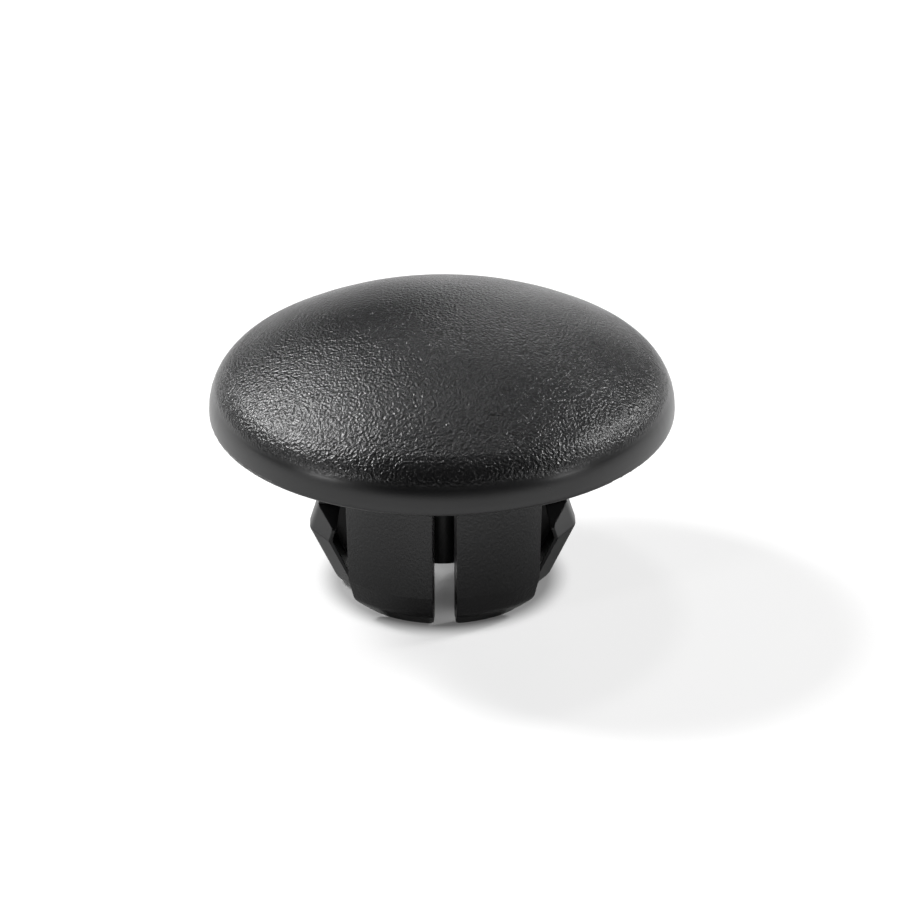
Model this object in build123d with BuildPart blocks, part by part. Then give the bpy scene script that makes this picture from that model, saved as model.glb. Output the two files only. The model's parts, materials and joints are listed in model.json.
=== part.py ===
"""Snap-in plastic hole plug: crowned round head on a split, barbed shank, moulded as one piece."""

import os
from math import atan, hypot, pi, tan

from build123d import *

# --- driving dimensions, mm -------------------------------------------------
# The plug stands on its shank: z = 0 is the tip of the shank, +Z runs out through the crown.

# head
head_radius = 9.0
head_height = 4.33         # seat to crown
band_height = 0.38         # upright edge, below the shoulder
shoulder_radius = 2.0      # soft shoulder between band and crown
seat_edge_radius = 0.25    # rounded lower edge of the head

# shank walls
shank_length = 7.17        # seat to tip
root_radius = 5.0          # outside, at the seat
waist_radius = 4.9         # outside, where the draft ends and the lead-in starts
waist_height = 1.55
nose_radius = 4.74         # outside, where the lead-in turns into the nose
nose_height = 0.7
tip_radius = 4.0           # outside, at the tip
bore_radius = 3.8          # inside of the walls
nose_blend = 0.45
tip_blend = 0.15

# openings
slot_width = 0.95          # middle slots at the outside
side_gap = 1.66            # between a snap finger and the wall beside it
slot_inner_width = 0.76    # the middle slots narrow towards the inside
corner_radius = 0.3        # rounded wall corners at the tip

# snap fingers
finger_half_width = 1.57
face_half_width = 0.43     # middle face, up to its bend; also the half width of the arm
flank_run = 0.65           # how far each flank falls back per mm of width
flank_bend = 0.6           # radius between the middle face and a flank
ridge_reach = 5.2          # barb ridge, from the axis
ridge_height = 2.4
ridge_blend = 0.12
arm_reach = 4.57           # outside of the arm, from the axis
arm_start_height = 4.42    # the retaining slope ends here
toe_reach = 4.24           # the lead-in slope ends here and the rounded toe starts
toe_height = 0.38
toe_tip_height = 0.05      # lowest point of the finger
flank_edge = 0.15          # thickness left at the side edge of a flank
shoulder_high = 3.46       # shoulder of the barb, beside the arm
shoulder_low = 2.93        # shoulder of the barb, at its side
shoulder_blend = 0.25
toe_corner_radius = 0.9

# centre post
post_radius = 1.75
post_clearance = 1.44      # free height under the post

# --- derived ----------------------------------------------------------------
crown_rise = head_height - band_height
shoulder_centre = head_radius - shoulder_radius
crown_radius = (shoulder_centre**2 + crown_rise**2 - shoulder_radius**2) / (
    2 * (crown_rise - shoulder_radius)
)
crown_drop = crown_radius - crown_rise
tangent_scale = shoulder_radius / hypot(shoulder_centre, crown_drop)
tangent_r = shoulder_centre + shoulder_centre * tangent_scale
tangent_z = shank_length + band_height + crown_drop * tangent_scale
crown_z = shank_length + head_height
wall_end = finger_half_width + side_gap
lead_in_slope = (ridge_reach - toe_reach) / (ridge_height - toe_height)
flank_fall = flank_run * (finger_half_width - face_half_width)
finger_thickness = flank_fall + flank_edge
toe_drop = toe_height - toe_tip_height
toe_flat_reach = toe_reach - toe_drop * tan(pi / 4 + atan(lead_in_slope) / 2)
toe_inner_reach = toe_reach - finger_thickness - lead_in_slope * toe_drop
ridge_inner_reach = ridge_reach - finger_thickness
arm_inner_reach = arm_reach - finger_thickness
rib_foot_height = ridge_height - (ridge_inner_reach - arm_inner_reach) / lead_in_slope
cut_margin = 1.0
slot_taper = (slot_width - slot_inner_width) / (2 * (root_radius - bore_radius))
slot_outer_station = root_radius + cut_margin
slot_inner_station = bore_radius - cut_margin
slot_outer_half = slot_width / 2 + slot_taper * cut_margin
slot_inner_half = slot_inner_width / 2 - slot_taper * cut_margin

# --- snap finger on the +X side ---------------------------------------------
with BuildPart() as finger:
    # plan line: the middle face bends into a flank that falls back from it
    with BuildLine(Plane.XY) as plan_line:
        FilletPolyline(
            (0, 0),
            (0, -face_half_width),
            (-flank_fall, -finger_half_width),
            radius=flank_bend,
        )
    # middle section: arm, retaining slope, ridge, lead-in slope and rounded toe
    with BuildSketch(Plane.XZ) as middle_section:
        with BuildLine():
            TangentArc(
                (toe_reach, toe_height),
                (toe_flat_reach, toe_tip_height),
                tangent=(-lead_in_slope, -1),
            )
            Polyline(
                (toe_flat_reach, toe_tip_height),
                (toe_inner_reach, toe_tip_height),
                (ridge_inner_reach, ridge_height),
                (arm_inner_reach, arm_start_height),
                (arm_inner_reach, shank_length),
                (arm_reach, shank_length),
                (arm_reach, arm_start_height),
                (ridge_reach, ridge_height),
                (toe_reach, toe_height),
            )
        make_face()
        ridge_points = middle_section.vertices().filter_by(
            lambda v: abs(v.Y - ridge_height) < 0.001
        )
        fillet(ridge_points, radius=ridge_blend)
    # the section keeps its direction along the plan line, then the back is cut flat
    sweep(middle_section.sketch, path=plan_line.wire(), normal=(0, -1, 0))
    mirror(about=Plane.XZ)
    extrude(middle_section.sketch, amount=finger_half_width, both=True, mode=Mode.INTERSECT)
    # side outline: narrow arm over a wider barb with sloping shoulders
    with BuildSketch(Plane.YZ) as finger_outline:
        with BuildLine():
            Polyline(
                (0, shank_length),
                (face_half_width, shank_length),
                (face_half_width, shoulder_high),
                (finger_half_width, shoulder_low),
                (finger_half_width, toe_tip_height),
                (0, toe_tip_height),
            )
            mirror(about=Plane.YZ)
        make_face()
        shoulder_points = finger_outline.vertices().filter_by(
            lambda v: abs(v.Y - shoulder_low) < 0.001
        )
        fillet(shoulder_points, radius=shoulder_blend)
        toe_corners = finger_outline.vertices().group_by(Axis.Y)[0]
        fillet(toe_corners, radius=toe_corner_radius)
    extrude(finger_outline.sketch, amount=root_radius + cut_margin, mode=Mode.INTERSECT)
    # the arm runs straight down behind the barb as a rib
    with BuildSketch(Plane.XZ) as rib_section:
        with BuildLine():
            Polyline(
                (arm_inner_reach, arm_start_height),
                (arm_inner_reach, rib_foot_height),
                (ridge_inner_reach, ridge_height),
                close=True,
            )
        make_face()
    extrude(rib_section.sketch, amount=face_half_width, both=True)

# --- middle slot, narrowing inwards and flared at the tip --------------------
with BuildPart() as slot_cut:
    for station, half in (
        (slot_outer_station, slot_outer_half),
        (slot_inner_station, slot_inner_half),
    ):
        with BuildSketch(Plane.XZ.offset(station)):
            with BuildLine():
                Line((0, 0), (half + corner_radius, 0))
                RadiusArc((half + corner_radius, 0), (half, corner_radius), corner_radius)
                Line((half, corner_radius), (half, shank_length))
                Line((half, shank_length), (0, shank_length))
                mirror(about=Plane.YZ)
            make_face()
    loft()

# --- side opening for a snap finger, flared at the tip ------------------------
with BuildPart() as side_cut:
    with BuildSketch(Plane.YZ):
        with BuildLine():
            Line((0, 0), (wall_end + corner_radius, 0))
            RadiusArc((wall_end + corner_radius, 0), (wall_end, corner_radius), corner_radius)
            Line((wall_end, corner_radius), (wall_end, shank_length))
            Line((wall_end, shank_length), (0, shank_length))
            mirror(about=Plane.YZ)
        make_face()
    extrude(amount=root_radius + cut_margin)

# --- the plug ---------------------------------------------------------------
with BuildPart() as hole_plug:
    # shank wall as a full ring
    with BuildSketch(Plane.XZ) as wall_section:
        with BuildLine():
            Polyline(
                (bore_radius, 0),
                (tip_radius, 0),
                (nose_radius, nose_height),
                (waist_radius, waist_height),
                (root_radius, shank_length),
                (bore_radius, shank_length),
                close=True,
            )
        make_face()
        nose_point = wall_section.vertices().sort_by_distance((nose_radius, nose_height, 0))[0]
        fillet(nose_point, radius=nose_blend)
        tip_point = wall_section.vertices().sort_by_distance((tip_radius, 0, 0))[0]
        fillet(tip_point, radius=tip_blend)
    revolve(axis=Axis.Z)

    # the openings leave four wall segments, with a snap finger between them on each side
    with PolarLocations(radius=0, count=2):
        add(slot_cut.part, mode=Mode.SUBTRACT)
        add(side_cut.part, mode=Mode.SUBTRACT)
        add(finger.part)

    # crowned head and the post under its middle
    with BuildSketch(Plane.XZ) as head_section:
        with BuildLine():
            Polyline(
                (0, crown_z),
                (0, post_clearance),
                (post_radius, post_clearance),
                (post_radius, shank_length),
                (head_radius, shank_length),
                (head_radius, shank_length + band_height),
            )
            shoulder = TangentArc(
                (head_radius, shank_length + band_height), (tangent_r, tangent_z), tangent=(0, 1)
            )
            TangentArc((tangent_r, tangent_z), (0, crown_z), tangent=shoulder % 1)
        make_face()
        seat_edge = head_section.vertices().sort_by_distance((head_radius, shank_length, 0))[0]
        fillet(seat_edge, radius=seat_edge_radius)
    revolve(axis=Axis.Z)

os.makedirs("parts", exist_ok=True)
hole_plug.part.label = "hole_plug"
export_step(hole_plug.part, "parts/hole_plug.step")
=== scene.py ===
"""Studio scene of the snap-in hole plug: near-black moulded plastic on a white sweep."""

import json
import math

import bpy
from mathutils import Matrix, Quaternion, Vector


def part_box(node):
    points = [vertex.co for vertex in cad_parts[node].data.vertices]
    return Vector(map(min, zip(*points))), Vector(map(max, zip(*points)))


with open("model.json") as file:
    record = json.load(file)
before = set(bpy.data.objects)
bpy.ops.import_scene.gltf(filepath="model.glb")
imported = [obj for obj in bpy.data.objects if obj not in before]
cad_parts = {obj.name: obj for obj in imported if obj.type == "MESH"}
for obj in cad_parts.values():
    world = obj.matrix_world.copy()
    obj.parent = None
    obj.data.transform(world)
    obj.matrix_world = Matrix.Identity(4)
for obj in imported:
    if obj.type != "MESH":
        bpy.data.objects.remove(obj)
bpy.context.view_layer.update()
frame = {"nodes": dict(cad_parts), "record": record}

MM = 0.001
NODE = "hole_plug"
plug = frame["nodes"][NODE]
low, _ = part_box(NODE)
seat = next(mount for mount in frame["record"]["mounts"] if mount["name"] == "seat")

# Heights along the plug, metres, from the tip of the shank
SEAT_Z = seat["pos_m"][2]
AIM_Z = 7.3 * MM  # the camera and the lights look here
GRAIN_START_Z = SEAT_Z + 1.08 * MM  # plain edge band below, leather grain above
GRAIN_FULL_Z = SEAT_Z + 1.48 * MM
WALL_TOP_Z = SEAT_Z - 0.02 * MM
WALL_START_Y = 2.4 * MM  # the snap fingers end before this, the shank walls start after it

# Plastic
PLASTIC_COLOR = (0.009, 0.009, 0.0095, 1.0)
PLASTIC_IOR = 1.5
ROUGHNESS_LOW = 0.27
ROUGHNESS_HIGH = 0.33
MOTTLE_SCALE = 350.0  # slow change of roughness, about 3 mm
EDGE_ROUNDING = 0.06 * MM
GRAIN_SCALE = 9000.0  # cells per metre, about 0.11 mm each
GRAIN_DEPTH = 0.05 * MM
CELL_SHARE = 0.4  # rounded cells added to the wrinkles of the grain
WALL_GRAIN = 0.3  # grain of the walls, as a share of the crown's
FINE_SCALE = 16000.0  # faint texture on every face
FINE_SHARE = 0.004

# Floor
FLOOR_HALF = 1.2
FLOOR_COLOR = (0.42, 0.42, 0.42, 1.0)
FLOOR_GLOW = 0.65  # with the light on the floor, this comes to white
TOOTH_SCALE = 900.0
TOOTH_DEPTH = 0.01 * MM
TOOTH_STRENGTH = 0.02
GLOW_INNER = 3.8 * MM  # painted shade: the camera sees the glow fade out under the plug
GLOW_OUTER = 5.2 * MM
GLOW_UNDER = 0.12  # share of the glow left in the painted shade under the plug
SHADE_INNER = 5.0 * MM  # reflections see a painted shadow on the floor round the plug, white further out
SHADE_OUTER = 22.0 * MM

# Camera
CAMERA_DISTANCE = 0.180
CAMERA_ELEVATION = math.radians(26.0)
CAMERA_TURN = math.radians(0.8)
CAMERA_ROLL = math.radians(-0.35)
CAMERA_LENS = 186.1
CAMERA_SENSOR = 36.0
CAMERA_SHIFT = (0.0089, -0.046)

LIGHT_DISTANCE = 0.35


# --- materials --------------------------------------------------------------
class Tree:
    """Small helper for building a shader tree."""

    def __init__(self, material):
        material.use_nodes = True
        self.nodes = material.node_tree.nodes
        self.links = material.node_tree.links
        self.nodes.clear()

    def add(self, kind, values=(), **settings):
        node = self.nodes.new(kind)
        for name, value in settings.items():
            setattr(node, name, value)
        for socket, value in dict(values).items():
            if isinstance(value, bpy.types.NodeSocket):
                self.links.new(value, node.inputs[socket])
            else:
                node.inputs[socket].default_value = value
        return node

    def math(self, operation, a, b=0.0):
        return self.add("ShaderNodeMath", {0: a, 1: b}, operation=operation).outputs[0]

    def step(self, value, start, end):
        """0 below start, 1 above end, smooth between."""
        node = self.add(
            "ShaderNodeMapRange",
            {"Value": value, "From Min": start, "From Max": end},
            interpolation_type="SMOOTHSTEP",
        )
        return node.outputs["Result"]


def plastic():
    """Near-black plastic: leather grain on crown and walls, plain edge band and fingers."""
    material = bpy.data.materials.new("black_plastic")
    t = Tree(material)
    where = t.add("ShaderNodeTexCoord").outputs["Object"]
    part = t.add("ShaderNodeSeparateXYZ", {"Vector": where})
    height = part.outputs["Z"]
    aside = t.math("ABSOLUTE", part.outputs["Y"])

    on_crown = t.step(height, GRAIN_START_Z, GRAIN_FULL_Z)
    below_seat = t.math("LESS_THAN", height, WALL_TOP_Z)
    on_wall = t.math("MULTIPLY", below_seat, t.math("GREATER_THAN", aside, WALL_START_Y))
    wall_share = t.math("MULTIPLY", on_wall, WALL_GRAIN)
    grained = t.math("MAXIMUM", on_crown, wall_share)

    wrinkles = t.add(
        "ShaderNodeTexNoise",
        {"Vector": where, "Scale": GRAIN_SCALE, "Detail": 2.0, "Roughness": 0.55},
    ).outputs["Fac"]
    cells = t.add(
        "ShaderNodeTexVoronoi",
        {"Vector": where, "Scale": GRAIN_SCALE, "Randomness": 1.0},
        feature="SMOOTH_F1",
    ).outputs["Distance"]
    pattern = t.math("ADD", wrinkles, t.math("MULTIPLY", cells, CELL_SHARE))
    fine = t.add(
        "ShaderNodeTexNoise", {"Vector": where, "Scale": FINE_SCALE, "Detail": 2.0}
    ).outputs["Fac"]
    relief = t.math(
        "ADD", t.math("MULTIPLY", pattern, grained), t.math("MULTIPLY", fine, FINE_SHARE)
    )
    rounded = t.add("ShaderNodeBevel", {"Radius": EDGE_ROUNDING}, samples=8).outputs["Normal"]
    bump = t.add(
        "ShaderNodeBump",
        {"Strength": 1.0, "Distance": GRAIN_DEPTH, "Height": relief, "Normal": rounded},
    ).outputs["Normal"]

    mottle = t.add(
        "ShaderNodeTexNoise", {"Vector": where, "Scale": MOTTLE_SCALE, "Detail": 4.0}
    ).outputs["Fac"]
    roughness = t.add(
        "ShaderNodeMapRange",
        {
            "Value": mottle,
            "From Min": 0.3,
            "From Max": 0.7,
            "To Min": ROUGHNESS_LOW,
            "To Max": ROUGHNESS_HIGH,
        },
    ).outputs["Result"]
    shader = t.add(
        "ShaderNodeBsdfPrincipled",
        {
            "Base Color": PLASTIC_COLOR,
            "Roughness": roughness,
            "IOR": PLASTIC_IOR,
            "Normal": bump,
        },
    )
    t.add("ShaderNodeOutputMaterial", {"Surface": shader.outputs["BSDF"]})
    return material


def sweep_white():
    """Matt studio floor that camera and reflections see as a white, overexposed sweep, with painted
    shade where the glow fades under and round the plug.
    """
    material = bpy.data.materials.new("floor_white")
    t = Tree(material)
    where = t.add("ShaderNodeTexCoord").outputs["Object"]
    tooth = t.add("ShaderNodeTexNoise", {"Vector": where, "Scale": TOOTH_SCALE}).outputs["Fac"]
    bump = t.add(
        "ShaderNodeBump", {"Strength": TOOTH_STRENGTH, "Distance": TOOTH_DEPTH, "Height": tooth}
    ).outputs["Normal"]
    diffuse = t.add("ShaderNodeBsdfDiffuse", {"Color": FLOOR_COLOR, "Normal": bump}).outputs["BSDF"]
    glow = t.add(
        "ShaderNodeEmission", {"Color": (1.0, 1.0, 1.0, 1.0), "Strength": FLOOR_GLOW}
    ).outputs["Emission"]

    reach = t.add("ShaderNodeVectorMath", {0: where}, operation="LENGTH").outputs["Value"]
    rays = t.add("ShaderNodeLightPath").outputs
    # Painted shade: the glow fades out under the plug for the camera, and round it for reflections
    camera_glow_past_painted_shade = t.math("MAXIMUM", t.step(reach, GLOW_INNER, GLOW_OUTER), GLOW_UNDER)
    to_camera = t.math("MULTIPLY", rays["Is Camera Ray"], camera_glow_past_painted_shade)
    mirrored = t.math("MAXIMUM", rays["Is Glossy Ray"], rays["Is Transmission Ray"])
    to_plug = t.math("MULTIPLY", mirrored, t.step(reach, SHADE_INNER, SHADE_OUTER))
    seen = t.math("MAXIMUM", to_camera, to_plug)

    dark = t.add("ShaderNodeEmission", {"Strength": 0.0}).outputs["Emission"]
    shown_glow = t.add("ShaderNodeMixShader", {0: seen, 1: dark, 2: glow}).outputs["Shader"]
    both = t.add("ShaderNodeAddShader", {0: diffuse, 1: shown_glow}).outputs["Shader"]
    t.add("ShaderNodeOutputMaterial", {"Surface": both})
    return material


plug.data.materials.clear()
plug.data.materials.append(plastic())

# --- stage ------------------------------------------------------------------
bpy.ops.mesh.primitive_plane_add(size=2 * FLOOR_HALF, location=(0, 0, low.z))
floor = bpy.context.object
floor.name = "floor"
floor.data.materials.append(sweep_white())


def aim_from(item, back, distance):
    """Puts a camera or light at a distance along back, looking at the plug."""
    item.location = Vector((0, 0, AIM_Z)) + back * distance
    item.rotation_mode = "QUATERNION"
    item.rotation_quaternion = (-back).to_track_quat("-Z", "Y")
    bpy.context.scene.collection.objects.link(item)


def direction(azimuth, elevation):
    """Unit vector from the plug; azimuth 0 is the camera's side, 90 the right, in radians."""
    return Vector(
        (
            math.sin(azimuth) * math.cos(elevation),
            -math.cos(azimuth) * math.cos(elevation),
            math.sin(elevation),
        )
    )


def softbox(name, azimuth, elevation, width, height, power):
    """A soft light aimed at the plug; angles in degrees, sizes in metres, power in watts."""
    data = bpy.data.lights.new(name, "AREA")
    data.shape = "RECTANGLE"
    data.size = width
    data.size_y = height
    data.energy = power
    light = bpy.data.objects.new(name, data)
    aim_from(light, direction(math.radians(azimuth), math.radians(elevation)), LIGHT_DISTANCE)


# The two strong back lights make the highlights on the left and right shoulder
softbox("left_back", -120, 42, 0.085, 0.085, 1.45)
softbox("left_front", -60, 15, 0.055, 0.055, 0.22)
softbox("right_back", 110, 33, 0.055, 0.055, 0.74)
softbox("right_front", 60, 15, 0.055, 0.055, 0.16)
softbox("top_back", 180, 68, 0.055, 0.055, 0.18)
softbox("low_back", 170, 15, 0.10, 0.055, 0.08)

# The world is black: the lights and the floor do all the lighting
world = bpy.data.worlds.new("studio")
bpy.context.scene.world = world
world.use_nodes = True
world.node_tree.nodes["Background"].inputs["Strength"].default_value = 0.0

# --- camera -----------------------------------------------------------------
camera_data = bpy.data.cameras.new("camera")
camera_data.sensor_width = CAMERA_SENSOR
camera_data.lens = CAMERA_LENS
camera_data.shift_x, camera_data.shift_y = CAMERA_SHIFT
camera_data.clip_start = 0.01
camera_data.clip_end = 10.0
camera = bpy.data.objects.new("camera", camera_data)
aim_from(camera, direction(-CAMERA_TURN, CAMERA_ELEVATION), CAMERA_DISTANCE)
camera.rotation_quaternion = camera.rotation_quaternion @ Quaternion((0, 0, 1), CAMERA_ROLL)
bpy.context.scene.camera = camera

bpy.context.scene.view_settings.view_transform = "Standard"
